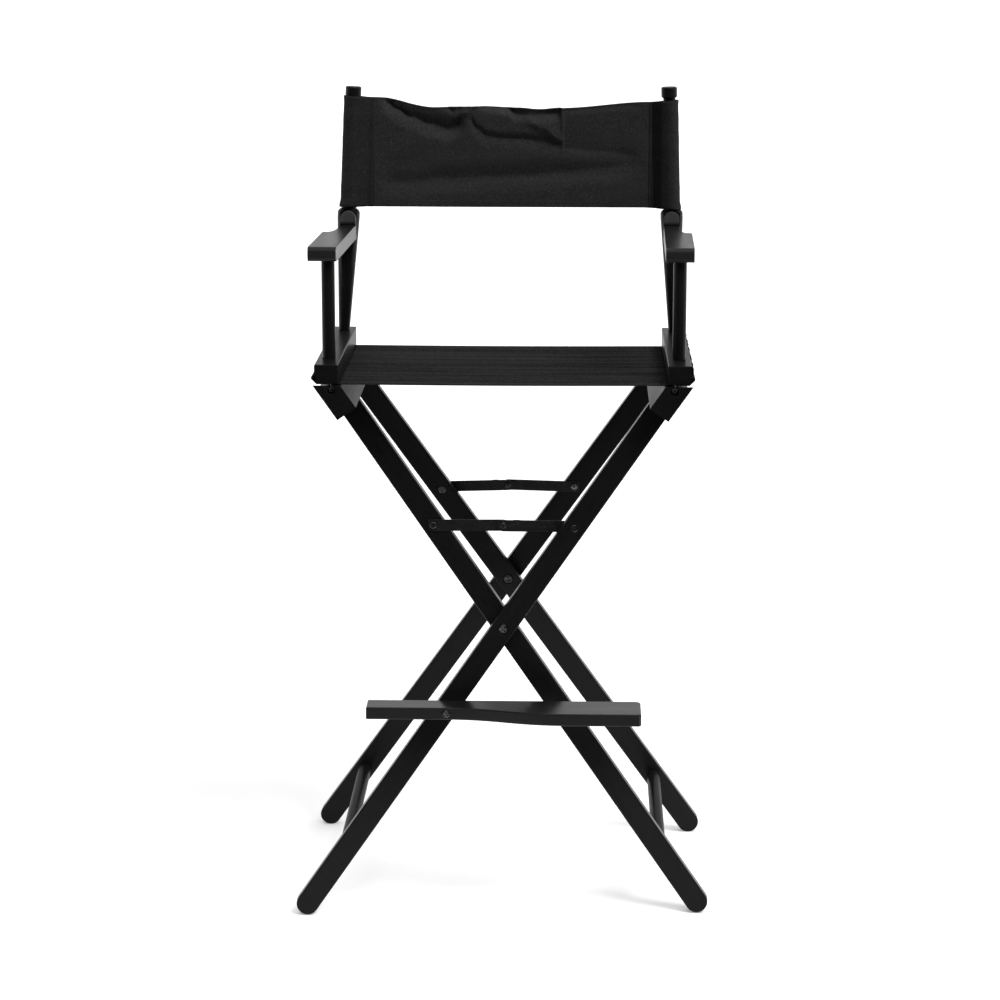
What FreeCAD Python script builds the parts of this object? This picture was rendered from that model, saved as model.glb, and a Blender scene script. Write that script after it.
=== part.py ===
import FreeCAD, Part
import math
import os
from FreeCAD import Vector

# Tall folding director chair: two X frames, two seat sides, four half spreader links, a swinging
# footrest, a sling seat and a sling back.  Millimetres and degrees.
# Seen from the front, X is to the right, Y runs from front to back and Z is up.
# The origin is on the floor, in the middle of the chair's footprint box.

# ---- driving dimensions ----
LEG_SPREAD = 35.05      # angle of each leg from upright, chair open
LEG_SWING = 27.0        # how far each leg turns towards upright as the chair folds
PIVOT_Z = 405.2         # height of the X pivots
PAIR_REACH = 168.2      # from the chair's middle plane to an outer leg's outer face, at the pivot
LEG_WIDTH = 31.0
LEG_THICK = 18.0
LEG_EASE = 2.0
LEG_GAP = 5.0           # between an outer and an inner leg, where the links and washers are
LEG_TILT = 5.05         # the legs lean out to front and back towards the floor
CAP_START = 371.0       # from the X pivot along a leg to the underside of its cap rail
CAP_TOP_Z = 747.6
FIT = 0.05              # looseness of the running and sliding fits
SNUG = 0.02             # looseness of the fixed ones
RUNG_S = 382.5          # from the X pivot down the leg to the bottom rung
RUNG_R = 9.7
TENON_R, TENON_DEPTH = 7.0, 11.0        # of the rungs, in the legs
DOWEL_R, DOWEL_BELOW, DOWEL_LENGTH = 4.5, 20.0, 34.0    # cap dowels, glued into leg and cap rail

BOLT_R, HEAD_R = 4.0, 7.0               # pivot bolts
HEAD_SEAT, NUT_SEAT = 5.2, 4.6          # depth of the wells for their heads and nuts
WASHER_R, WASHER_THICK = 8.0, 2.4

PIN_X, PIN_Z, PIN_R = 234.05, 740.9, 1.55   # seat hinge axis, and its pins' radius
PIN_LENGTH = 62.0
EYE_Y, WIRE_R, RING_R = 166.0, 1.15, 2.8    # eye screws: place, half their wire, ring radius
EYE_SHANK_R, EYE_SHANK = 1.45, 26.0
NOTCH_R, SLOT_HALF, NOTCH_BACK = 5.6, 2.6, 159.0    # hinge notches in the cap rails' ends
RAIL_HALF = 171.4       # half the length of a seat rail
CAP_HALF = 174.8        # half the length of a cap rail
RAIL_IN, RAIL_OUT = 224.8, 257.2
RAIL_Z0, RAIL_Z1 = 750.0, 776.0

FRONT_POST_X, FRONT_POST_Y, FRONT_POST_R = 241.0, -116.2, 9.2
REAR_POST_Y = 133.8
POST_TOP_Z = 1130.5
POST_R = 11.0           # upper, round part of a back post
SHOULDER_R = 16.2
BASE_R = 8.0
POST_TENON_R, POST_TENON = 6.0, 14.0
KNOB_R, NECK_R = 11.4, 8.7
FLAT_Y = REAR_POST_Y - POST_R               # front flat of a back post, where the arm's tab lies
POST_SHOULDER_X = {"left": -230.8, "right": 235.8}   # post axis at shoulder height
POST_LEAN = {"left": 2.8, "right": 1.8}     # inward lean, pulled in by the tight back sling
SHOULDER_Z = 955.0

ARM_Z0, ARM_Z1 = 912.0, 932.0
ARM_FRONT_Y = -135.2
ARM_WIDTH = 39.0
ARM_SIDE = 174.0        # length of the arm's full-width part
TAB_WIDTH, TAB_THICK, TAB_TOP_Z = 22.5, 10.0, 952.5
ARM_TURN = {"left": -2.0, "right": -0.8}    # small turn of each arm in plan
ARM_NOSE_R, ARM_CORNER_R, COVE = 7.0, 5.0, 40.0
ARM_SCREW_R, ARM_SCREW_HEAD_R, ARM_SCREW_Z = 1.9, 3.6, 924.0
ARM_SCREW_SEAT = 11.5   # its head's underside, behind the post's axis

LINK_S = 170.5          # from the X pivot up the leg to a link's rivet
LINK_WIDTH, LINK_THICK = 16.0, 1.0
LINK_CLEAR = 0.3
LINK_ARCH = 0.9         # the open links meet a little above straight, so that they fold upwards
LINK_BOLT_R, LINK_HEAD_R, LINK_NUT_R = 2.5, 5.0, 4.6
RIVET_R, RIVET_HEAD_R, RIVET_HEAD = 1.9, 4.0, 1.3
LINK_TAIL, LINK_TAIL_R = 6.8, 2.0       # a half link's end beyond its bolt, and its corners
LUG_RISE, LUG_BACK, LUG_LENGTH = 0.5, 23.0, 9.0     # the small lug on a spreader's upper edge

FOOT_LEFT, FOOT_RIGHT = -187.5, 191.5
FOOT_Z0, FOOT_Z1 = 289.0, 306.0
FOOT_NARROW, FOOT_WIDE = 37.5, 64.0     # depth of the footrest at its bolted and at its free end
FOOT_WASHER = 1.8
FOOT_BEND = (-78.0, 88.0)               # where the footrest's front edge sweeps out
FOOT_EASE, FOOT_CORNER = 1.6, 7.0
FOOT_BOLT_X, FOOT_BOLT_Z = -76.7, 293.5     # where the footrest's bolt enters the leg's face
FOOT_BOLT_R, FOOT_HEAD_R = 3.0, 5.8
PEG_S, PEG_R = -137.5, 4.0              # the peg under the free end: place along its leg, radius
PEG_OUT, PEG_IN = 26.0, 13.0            # how far the peg stands out of its leg, and goes into it

CLOTH = 1.4
SEAT_CLOTH_TOP = 749.65
BEAD_X, BEAD_Z, BEAD_R = 258.2, 757.2, 2.3
SEAT_FRONT, SEAT_BACK = -167.0, 165.0
BACK_Z0, BACK_Z1 = 958.0, 1112.0
BACK_DIP = 12.0         # the top hem hangs this much lower in the middle
SLEEVE_SEAM = 31.0      # from a post's axis to the row of stitches that closes its sleeve
SLEEVE_GAP = 0.4        # between a sleeve and its post

SIDES = {"left": -1, "right": 1}
ORIGIN = Vector(0, 0, 0)
AXIS_X, AXIS_Y, AXIS_Z = Vector(1, 0, 0), Vector(0, 1, 0), Vector(0, 0, 1)
TAN_TILT = math.tan(math.radians(LEG_TILT))
SIN_TILT, COS_TILT = math.sin(math.radians(LEG_TILT)), math.cos(math.radians(LEG_TILT))
SIN_SPREAD, COS_SPREAD = math.sin(math.radians(LEG_SPREAD)), math.cos(math.radians(LEG_SPREAD))
OUTER_FACE = -PAIR_REACH
INNER_FACE = OUTER_FACE + LEG_THICK + LEG_GAP
# slope of the plane through X and the outer front leg: the footrest swings in it
FOOT_SLOPE = TAN_TILT / COS_SPREAD
FOOT_BOLT_WAY = Vector(0, -1, FOOT_SLOPE).normalize()

nodes = {}


# ---- small builders ----
def block(x0, x1, y0, y1, z0, z1):
    return Part.makeBox(x1 - x0, y1 - y0, z1 - z0, Vector(x0, y0, z0))


def rod(start, direction, length, radius):
    return Part.makeCylinder(radius, length, start, direction)


def tube(start, direction, length, outer, inner):
    return rod(start, direction, length, outer).cut(rod(start, direction, length, inner))


def slab(points, y0, y1):
    """A flat outline of (x, z) corners, given depth along Y."""
    corners = [Vector(x, y0, z) for x, z in points]
    return Part.Face(Part.makePolygon(corners + corners[:1])).extrude(Vector(0, y1 - y0, 0))


def plate(edges, z0, z1):
    """A closed plan outline of edges at z = 0, given height along Z."""
    face = Part.Face(Part.Wire(Part.__sortEdges__(edges)))
    face.translate(Vector(0, 0, z0))
    return face.extrude(Vector(0, 0, z1 - z0))


def turned(profile):
    """A solid of revolution about Z from (radius, z) corners, which start and end on the axis."""
    corners = [Vector(r, 0, z) for r, z in profile]
    return Part.Face(Part.makePolygon(corners + corners[:1])).revolve(ORIGIN, AXIS_Z, 360)


def eased(shape, radius, wanted):
    """Rounds the edges that the test picks."""
    picked = [e for e in shape.Edges if wanted(e)]
    return shape.makeFillet(radius, picked) if picked else shape


def runs_along(edge, axis):
    ends = [v.Point for v in edge.Vertexes]
    if len(ends) < 2 or edge.Curve.TypeId != "Part::GeomLine":
        return False
    return abs((ends[1] - ends[0]).normalize().dot(axis)) > 0.999


def flipped(shape, axis):
    return shape.mirror(ORIGIN, axis)


def keep(name, *shapes):
    nodes[name] = shapes[0] if len(shapes) == 1 else Part.makeCompound(list(shapes))


# ---- the leg's own frame: x across, z along, y = 0 on its outward face, the X pivot at the origin ----
def tilted(shape):
    shape = shape.copy()
    shape.rotate(ORIGIN, AXIS_X, -LEG_TILT)
    return shape


def stood(shape, lean, face):
    """Leans a part from the leg's frame to the right (lean 1) or left (-1), at its pair's face."""
    shape = shape.copy()
    shape.rotate(ORIGIN, AXIS_Y, lean * LEG_SPREAD)
    shape.translate(Vector(0, face, PIVOT_Z))
    return shape


def foot_centre():
    """Distance from the X pivot to the centre of the rounded foot, so that the foot meets z = 0."""
    inner_r = LEG_WIDTH / 2 - LEG_EASE
    across = math.sqrt(1 - (SIN_TILT * COS_SPREAD) ** 2)
    drop = (PIVOT_Z - LEG_EASE - inner_r * across) / COS_SPREAD
    return (drop - (LEG_THICK - LEG_EASE) * SIN_TILT) / COS_TILT


def leg_board():
    half, bottom, top = LEG_WIDTH / 2, -foot_centre(), CAP_START + 12
    left, right = Vector(-half, 0, bottom), Vector(half, 0, bottom)
    outline = [
        Part.Arc(left, Vector(0, 0, bottom - half), right).toShape(),
        Part.makeLine(right, Vector(half, 0, top)),
        Part.makeLine(Vector(half, 0, top), Vector(-half, 0, top)),
        Part.makeLine(Vector(-half, 0, top), left),
    ]
    board = Part.Face(Part.Wire(outline)).extrude(Vector(0, LEG_THICK, 0))
    board = eased(board, LEG_EASE, lambda e: e.BoundBox.ZMin < bottom + 1 and e.BoundBox.YLength < 1)
    board = tilted(board)
    return board.cut(block(-50, 50, -50, 100, CAP_START, CAP_START + 60))


def cap_dowel(clearance=0.0):
    middle = CAP_START * TAN_TILT + LEG_THICK / 2
    start = Vector(0, middle, CAP_START - DOWEL_BELOW - clearance)
    return rod(start, AXIS_Z, DOWEL_LENGTH + 2 * clearance, DOWEL_R + clearance)


def rung_hole(radius, depth):
    """Socket for a rung's tenon, in the leg's inward face."""
    back = LEG_THICK - RUNG_S * TAN_TILT
    return rod(Vector(0, back + 3, -RUNG_S), -AXIS_Y, depth + 3, radius)


def bored_leg(fit, face, way, pivot_well, rivet_s, rivet_well):
    """A leg with its holes. Its two wells are sunk from one face, at y = face, the given way."""
    outside, through = 20, 60
    leg = leg_board()
    leg = leg.cut(rod(Vector(0, -outside, 0), AXIS_Y, through, BOLT_R + fit))
    leg = leg.cut(rod(Vector(0, face - way * outside, 0), AXIS_Y * way, outside + pivot_well, HEAD_R + 0.8))
    leg = leg.cut(tilted(rod(Vector(0, -outside, rivet_s), AXIS_Y, through, LINK_BOLT_R + SNUG)))
    start = Vector(0, face - way * outside, rivet_s)
    leg = leg.cut(tilted(rod(start, AXIS_Y * way, outside + rivet_well, LINK_HEAD_R + 0.6)))
    leg = leg.cut(cap_dowel(FIT))
    return leg.cut(rung_hole(TENON_R + fit, TENON_DEPTH))


def outer_leg():
    """Bolt heads and link screws are let into its outward face. The left rung turns in it."""
    return bored_leg(FIT, 0, 1, HEAD_SEAT, link_seat("outer"), 1.6)


def inner_leg():
    """Nuts and the links' far heads are let into its inward face."""
    return bored_leg(SNUG, LEG_THICK, -1, NUT_SEAT, LINK_S, 1.8)


def cross_recess(y, size):
    """A Phillips cross, cut into a head whose outward face is at y."""
    arm = block(-size, size, y - 1, y + 1.6, -size / 4, size / 4)
    return arm.fuse(block(-size / 4, size / 4, y - 1, y + 1.6, -size, size))


def pivot_bolt():
    sunk = 1.2
    head = rod(Vector(0, sunk, 0), AXIS_Y, HEAD_SEAT - sunk - FIT, HEAD_R)
    head = eased(head, 1.4, lambda e: e.BoundBox.YMax < sunk + 0.1)
    head = head.cut(cross_recess(sunk, 4.0))
    reach = LEG_THICK * 2 + LEG_GAP - NUT_SEAT + 1
    shank = rod(Vector(0, HEAD_SEAT - FIT - 0.01, 0), AXIS_Y, reach - HEAD_SEAT, BOLT_R)
    return head.fuse(shank).removeSplitter()


def pivot_nut():
    """A round cap nut, let into the inner leg's far face and screwed on to the bolt's end."""
    seat, thick = LEG_THICK * 2 + LEG_GAP - NUT_SEAT, 3.6
    nut = rod(Vector(0, seat + FIT, 0), AXIS_Y, thick, HEAD_R)
    nut = eased(nut, 1.2, lambda e: e.BoundBox.YMin > seat + thick - 0.1)
    nut = nut.cut(rod(Vector(0, seat - 1, 0), AXIS_Y, 2.1, BOLT_R + SNUG))
    slot_half, slot_deep = 0.8, 1.0
    return nut.cut(block(-4.2, 4.2, seat + thick - slot_deep, seat + thick + 1, -slot_half, slot_half))


def pivot_washer():
    start = LEG_THICK + (LEG_GAP - WASHER_THICK) / 2
    return tube(Vector(0, start, 0), AXIS_Y, WASHER_THICK, WASHER_R, BOLT_R + FIT)


def build_x_frames():
    for name, lean, face, board in (
        ("outer", 1, OUTER_FACE, outer_leg()),
        ("inner", -1, INNER_FACE, inner_leg()),
    ):
        front = stood(board, lean, face)
        keep("leg_front_" + name, front)
        keep("leg_rear_" + name, flipped(front, AXIS_Y))
        dowel = stood(cap_dowel(), lean, face)
        keep("cap_dowels_" + name, dowel, flipped(dowel, AXIS_Y))
    for name, part in (
        ("pivot_bolts", pivot_bolt()),
        ("pivot_nuts", pivot_nut()),
        ("pivot_washers", pivot_washer()),
    ):
        part.translate(Vector(0, OUTER_FACE, PIVOT_Z))
        keep(name, part, flipped(part, AXIS_Y))


# ---- cap rails: they run front to back across the leg tops, and carry the seat hinges ----
def leg_point(s, u):
    """(x, z) of a point s up the right-leaning leg from its pivot and u across it."""
    return s * SIN_SPREAD + u * COS_SPREAD, PIVOT_Z + s * COS_SPREAD - u * SIN_SPREAD


def cap_outline(chamfered):
    half = LEG_WIDTH / 2
    slope = math.tan(math.radians(LEG_SPREAD))
    inner_low, outer_low = leg_point(CAP_START, -half), leg_point(CAP_START, half)
    inner_top = (inner_low[0] + (CAP_TOP_Z - inner_low[1]) * slope, CAP_TOP_Z)
    outer_top = (outer_low[0] + (CAP_TOP_Z - outer_low[1]) * slope, CAP_TOP_Z)
    if not chamfered:
        return [inner_low, inner_top, outer_top, outer_low]
    # relieved so that the seat rail and its cloth clear the cap when the chair is folded
    swing = math.radians(LEG_SWING + 1)
    reach = SEAT_CLOTH_TOP - CLOTH - 0.3 - PIN_Z
    start = (PIN_X + (reach / math.cos(swing) - (CAP_TOP_Z - PIN_Z)) / math.tan(swing), CAP_TOP_Z)
    # where the relief meets the cap's sloping outer side
    drop = (outer_top[0] - start[0]) / (1 / math.tan(swing) + slope)
    end = (outer_top[0] - drop * slope, CAP_TOP_Z - drop)
    return [inner_low, inner_top, start, end, outer_low]


def shank_fan():
    """Outline of the space an eye's shank sweeps above the hinge pin as the chair folds."""
    swing, rise = math.radians(LEG_SWING + 1), 12
    far = (rise * math.tan(swing) + SLOT_HALF / math.cos(swing), rise)
    near = (SLOT_HALF * math.cos(swing), -SLOT_HALF * math.sin(swing))
    outline = [(0, 0), (-SLOT_HALF, 0), (-SLOT_HALF, rise), far, near]
    return [(PIN_X + x, PIN_Z + z) for x, z in outline]


def cap_rail():
    """The right-hand cap rail, square to the floor on top, with its two hinge notches."""
    relieved = RAIL_HALF + 0.4
    rail = slab(cap_outline(True), -relieved, relieved)
    for y in (-CAP_HALF, relieved):
        rail = rail.fuse(slab(cap_outline(False), y, y + CAP_HALF - relieved))
    rail = rail.removeSplitter()
    inner_x = cap_outline(False)[1][0]
    rail = eased(rail, 3.0, lambda e: runs_along(e, AXIS_Y) and abs(e.BoundBox.XMax - inner_x) < 0.5
                 and e.BoundBox.ZMax > CAP_TOP_Z - 0.5)
    for end in (-1, 1):
        start, inward = Vector(PIN_X, end * (CAP_HALF + 1), PIN_Z), Vector(0, -end, 0)
        rail = rail.cut(rod(start, inward, CAP_HALF + 1 - NOTCH_BACK, NOTCH_R))
        rail = rail.cut(rod(start, inward, PIN_LENGTH + 12, PIN_R + SNUG))
        rail = rail.cut(slab(shank_fan(), *sorted((end * NOTCH_BACK, end * relieved))))
        low, high = sorted((end * RAIL_HALF, end * (CAP_HALF + 1)))
        rail = rail.cut(block(PIN_X - SLOT_HALF, PIN_X + SLOT_HALF, low, high, PIN_Z, CAP_TOP_Z + 1))
    return rail


def hinge_pin():
    """A steel pin in the cap rail. Its outer end is inside the eye."""
    start = Vector(PIN_X, -(EYE_Y + WIRE_R + 0.6), PIN_Z)
    return rod(start, AXIS_Y, PIN_LENGTH, PIN_R)


def eye_screw():
    """An eye screw that hangs from a seat rail and turns on its pin."""
    centre = Vector(PIN_X, -EYE_Y, PIN_Z)
    ring = Part.makeTorus(RING_R, WIRE_R, centre, AXIS_Y)
    shank = rod(centre + Vector(0, 0, RING_R), AXIS_Z, EYE_SHANK, EYE_SHANK_R)
    eye = ring.fuse(shank)
    return eye.cut(rod(centre - Vector(0, 5, 0), AXIS_Y, 10, PIN_R + FIT))


def build_caps():
    """The right cap rail is on the outer legs and the left one, its mirror image, on the inner legs."""
    pin = hinge_pin()
    pins = Part.makeCompound([pin, flipped(pin, AXIS_Y)])
    for side, face in (("right", OUTER_FACE), ("left", INNER_FACE)):
        dowel = stood(cap_dowel(FIT), 1, face)
        cap = cap_rail().cut(dowel).cut(flipped(dowel, AXIS_Y))
        keep("cap_rail_" + side, cap if side == "right" else flipped(cap, AXIS_X))
        keep("hinge_pins_" + side, pins if side == "right" else flipped(pins, AXIS_X))


def build_rungs():
    for name, lean, face in (("left", 1, OUTER_FACE), ("right", -1, INNER_FACE)):
        x, z = -lean * RUNG_S * SIN_SPREAD, PIVOT_Z - RUNG_S * COS_SPREAD
        end = -(face + LEG_THICK - RUNG_S * TAN_TILT) - 1.4
        body = rod(Vector(x, -end, z), AXIS_Y, 2 * end, RUNG_R)
        body = eased(body, 1.0, lambda e: e.Closed)
        reach = end + TENON_DEPTH
        tenons = rod(Vector(x, -reach, z), AXIS_Y, 2 * reach, TENON_R)
        keep("rung_" + name, body.fuse(tenons).removeSplitter())


# ---- spreader links: two half links at the front and two at the back ----
def link_face(kind):
    """Distance of a half link's outward face from its leg's outward face."""
    if kind == "outer":
        return LEG_THICK + LINK_CLEAR
    return -LINK_CLEAR - LINK_THICK


def link_angle(kind):
    """Turn of a half link from its leg, in the leg's face, when the chair is open."""
    lean = 1 if kind == "outer" else -1
    return -lean * (90 + LEG_SPREAD - LINK_ARCH)


def link_seat(kind):
    """Distance up the leg to its rivet, so that all four rivets are at one height."""
    return LINK_S + (link_face(kind) - link_face("inner")) * TAN_TILT


def link_length():
    """From rivet to rivet, so that two half links just meet in the chair's middle."""
    rivet_x = (LINK_S * COS_TILT - link_face("inner") * SIN_TILT) * SIN_SPREAD
    level = COS_TILT / math.hypot(COS_TILT, SIN_TILT * SIN_SPREAD)
    return rivet_x / level / math.cos(math.radians(LINK_ARCH))


def half_link(kind, lugged):
    """One half link in its leg's frame: a squared end on its leg, and a round free end."""
    length, half = link_length(), LINK_WIDTH / 2
    near, far = link_face(kind), link_face(kind) + LINK_THICK
    strap = block(-half, half, near, far, -LINK_TAIL, length)
    strap = eased(strap, LINK_TAIL_R, lambda e: runs_along(e, AXIS_Y) and e.BoundBox.ZMax < 0)
    strap = strap.fuse(rod(Vector(0, near, length), AXIS_Y, LINK_THICK, half))
    if lugged:
        # a small bent lug on the upper edge stops the pair just past straight
        edges = (half - 1, half + LUG_RISE) if kind == "outer" else (-half - LUG_RISE, 1 - half)
        strap = strap.fuse(block(*edges, near, far, length - LUG_BACK, length - LUG_BACK + LUG_LENGTH))
    strap = strap.removeSplitter()
    strap = strap.cut(rod(Vector(0, near - 1, 0), AXIS_Y, LINK_THICK + 2, LINK_BOLT_R + 0.06))
    return strap.cut(rod(Vector(0, near - 1, length), AXIS_Y, LINK_THICK + 2, RIVET_R))


def place_link(shape, kind):
    shape = shape.copy()
    shape.rotate(ORIGIN, AXIS_Y, link_angle(kind))
    shape.translate(Vector(0, 0, link_seat(kind)))
    lean, face = (1, OUTER_FACE) if kind == "outer" else (-1, INNER_FACE)
    return stood(tilted(shape), lean, face)


def centre_rivet(kind):
    """Each half link carries its own half of the centre rivet, so the open joint has room."""
    length, face = link_length(), link_face(kind)
    start, way = (face, -1) if kind == "outer" else (face + LINK_THICK, 1)
    head = rod(Vector(0, start, length), AXIS_Y * way, RIVET_HEAD, RIVET_HEAD_R)
    tip = start + way * RIVET_HEAD
    head = eased(head, 0.9, lambda e: abs(e.BoundBox.Center.y - tip) < 0.01)
    return head.fuse(rod(Vector(0, start, length), AXIS_Y * -way, LINK_THICK, RIVET_R))


def link_bolt(kind):
    """The fastener that holds a half link to its leg and lets it turn."""
    y, s = link_face(kind), link_seat(kind)
    if kind == "outer":
        shank = rod(Vector(0, 0.6, s), AXIS_Y, y + LINK_THICK + 2.2, LINK_BOLT_R)
        head = rod(Vector(0, 0.5, s), AXIS_Y, 1.05, LINK_HEAD_R)
        head = eased(head, 0.6, lambda e: e.BoundBox.YMax < 0.6)
        nut = rod(Vector(0, y + LINK_THICK + 0.15, s), AXIS_Y, 2.2, LINK_NUT_R)
        return head.fuse(shank).fuse(nut)
    head = rod(Vector(0, y - 1.75, s), AXIS_Y, 1.6, LINK_NUT_R)
    head = eased(head, 0.9, lambda e: e.BoundBox.YMax < y - 1.7)
    shank = rod(Vector(0, y - 0.6, s), AXIS_Y, LEG_THICK - y - 0.2, LINK_BOLT_R)
    far = rod(Vector(0, LEG_THICK - 1.75, s), AXIS_Y, 1.4, LINK_HEAD_R)
    return head.fuse(shank).fuse(far)


def build_links():
    for kind in ("inner", "outer"):
        front_lug = kind == "outer"             # the lug is on the right at the front, and on the left behind
        front = place_link(half_link(kind, front_lug), kind)
        rear = place_link(half_link(kind, not front_lug), kind)
        rivet = place_link(centre_rivet(kind), kind)
        lean, face = (1, OUTER_FACE) if kind == "outer" else (-1, INNER_FACE)
        bolt = stood(tilted(link_bolt(kind)), lean, face)
        keep("link_front_" + kind, front)
        keep("link_rear_" + kind, flipped(rear, AXIS_Y))
        keep("link_rivet_front_" + kind, rivet)
        keep("link_rivet_rear_" + kind, flipped(rivet, AXIS_Y))
        keep("link_bolts_" + kind, bolt, flipped(bolt, AXIS_Y))


# ---- footrest: a shaped board on the outer front leg, its free end held on a peg ----
def leg_plane_y(z):
    """Where the plane through X and the outer front leg's face is, at a height."""
    return OUTER_FACE + (z - PIVOT_Z) * FOOT_SLOPE


def footrest_board():
    back = leg_plane_y((FOOT_Z0 + FOOT_Z1) / 2)
    narrow, wide = back - FOOT_WASHER - FOOT_NARROW, back - FOOT_WASHER - FOOT_WIDE
    bend0, bend1 = FOOT_BEND
    r, pull = FOOT_CORNER, (bend1 - bend0) * 0.45
    bend = Part.BezierCurve()
    bend.setPoles([Vector(bend0, narrow, 0), Vector(bend0 + pull, narrow, 0),
                   Vector(bend1 - pull, wide, 0), Vector(bend1, wide, 0)])
    nip, rear = r * (1 - math.sqrt(0.5)), back + 3
    edges = [
        Part.makeLine(Vector(FOOT_LEFT, rear, 0), Vector(FOOT_LEFT, narrow, 0)),
        Part.makeLine(Vector(FOOT_LEFT, narrow, 0), Vector(bend0, narrow, 0)),
        bend.toShape(),
        Part.makeLine(Vector(bend1, wide, 0), Vector(FOOT_RIGHT - 3, wide, 0)),
        Part.makeLine(Vector(FOOT_RIGHT - 3, wide, 0), Vector(FOOT_RIGHT, wide + 3, 0)),
        Part.makeLine(Vector(FOOT_RIGHT, wide + 3, 0), Vector(FOOT_RIGHT, back - r, 0)),
        Part.Arc(Vector(FOOT_RIGHT, back - r, 0), Vector(FOOT_RIGHT - nip, back - nip, 0),
                 Vector(FOOT_RIGHT - r, back, 0)).toShape(),
        Part.makeLine(Vector(FOOT_RIGHT - r, back, 0), Vector(FOOT_RIGHT - r, rear, 0)),
        Part.makeLine(Vector(FOOT_RIGHT - r, rear, 0), Vector(FOOT_LEFT, rear, 0)),
    ]
    board = plate(edges, FOOT_Z0, FOOT_Z1)
    front = back - FOOT_NARROW
    board = eased(board, FOOT_EASE, lambda e: not runs_along(e, AXIS_Z) and e.BoundBox.YMin < front)
    # its back is bevelled to lie along the leg
    low, high = FOOT_Z0 - 5, FOOT_Z1 + 5
    beyond = [Vector(-300, leg_plane_y(low) - FOOT_WASHER, low), Vector(-300, back + 60, low),
              Vector(-300, back + 60, high), Vector(-300, leg_plane_y(high) - FOOT_WASHER, high)]
    board = board.cut(Part.Face(Part.makePolygon(beyond + beyond[:1])).extrude(Vector(600, 0, 0)))
    # under the free end, room for the peg and for its way out as the legs close
    peg_x, peg_z = -PEG_S * SIN_SPREAD, PIVOT_Z + PEG_S * COS_SPREAD
    notch = block(peg_x - 19, peg_x + PEG_R + 1, back - 28, back + 9, FOOT_Z0 - 9, peg_z + PEG_R + 0.3)
    board = board.cut(notch)
    start = Vector(FOOT_BOLT_X, leg_plane_y(FOOT_BOLT_Z), FOOT_BOLT_Z)
    board = board.cut(rod(start - FOOT_BOLT_WAY * 5, FOOT_BOLT_WAY, 60, FOOT_BOLT_R + FIT))
    well = start + FOOT_BOLT_WAY * (FOOT_NARROW + FOOT_WASHER - 2.4)
    return board.cut(rod(well, FOOT_BOLT_WAY, 9, FOOT_HEAD_R + 0.6))


def along_foot_bolt(shape):
    """From a frame whose -Y is the bolt's outward way and whose origin is on the leg's face."""
    shape = shape.copy()
    shape.rotate(ORIGIN, AXIS_X, -math.degrees(math.atan(FOOT_SLOPE)))
    shape.translate(Vector(FOOT_BOLT_X, leg_plane_y(FOOT_BOLT_Z), FOOT_BOLT_Z))
    return shape


def build_footrest():
    tip = -FOOT_WASHER - FOOT_NARROW
    head = rod(Vector(0, tip + 0.3, 0), AXIS_Y, 2.0, FOOT_HEAD_R)
    head = eased(head, 1.2, lambda e: e.BoundBox.YMax < tip + 0.4)
    head = head.cut(cross_recess(tip + 0.3, 3.4))
    shank = rod(Vector(0, tip + 2.0, 0), AXIS_Y, 12 - tip, FOOT_BOLT_R)
    washer = tube(Vector(0, FIT - FOOT_WASHER, 0), AXIS_Y, FOOT_WASHER - 0.65, WASHER_R, FOOT_BOLT_R + FIT)
    keep("footrest_board", footrest_board())
    keep("footrest_bolt", along_foot_bolt(head.fuse(shank)))
    keep("footrest_washer", along_foot_bolt(washer))
    bore = along_foot_bolt(rod(Vector(0, -5, 0), AXIS_Y, 19.2, FOOT_BOLT_R + SNUG))
    nodes["leg_front_outer"] = nodes["leg_front_outer"].cut(bore)
    peg_x, peg_z = -PEG_S * SIN_SPREAD, PIVOT_Z + PEG_S * COS_SPREAD
    face = INNER_FACE + PEG_S * TAN_TILT
    peg_tip = leg_plane_y(peg_z) - PEG_OUT
    peg = rod(Vector(peg_x, peg_tip, peg_z), AXIS_Y, face - peg_tip + PEG_IN, PEG_R)
    peg = eased(peg, 0.8, lambda e: e.BoundBox.YMax < peg_tip + 0.1)
    socket = rod(Vector(peg_x, face - 10, peg_z), AXIS_Y, 10.1 + PEG_IN, PEG_R + SNUG)
    keep("footrest_peg", peg)
    nodes["leg_front_inner"] = nodes["leg_front_inner"].cut(socket)


# ---- seat sides: rail, posts and arm ----
def seat_rail(sign):
    rail = block(RAIL_IN, RAIL_OUT, -RAIL_HALF, RAIL_HALF, RAIL_Z0, RAIL_Z1)
    rail = eased(rail, 1.6, lambda e: e.BoundBox.ZMin > RAIL_Z1 - 0.1)
    corner = [(RAIL_OUT - 3.6, RAIL_Z0 - 1), (RAIL_OUT - 3.6, RAIL_Z0), (RAIL_OUT, RAIL_Z0 + 5.2),
              (RAIL_OUT + 1, RAIL_Z0 + 5.2), (RAIL_OUT + 1, RAIL_Z0 - 1)]
    rail = rail.cut(slab(corner, -200, 200))
    rail = rail.cut(rod(Vector(BEAD_X, -200, BEAD_Z), AXIS_Y, 400, 4.3))
    for y in (-EYE_Y, EYE_Y):
        rail = rail.cut(rod(Vector(PIN_X, y, RAIL_Z0 - 1), AXIS_Z, 21, EYE_SHANK_R + SNUG))
    if sign < 0:
        rail = flipped(rail, AXIS_X)
    foot = Vector(sign * FRONT_POST_X, FRONT_POST_Y, RAIL_Z1 - POST_TENON)
    return rail.cut(rod(foot, AXIS_Z, 20, POST_TENON_R + SNUG))


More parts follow.
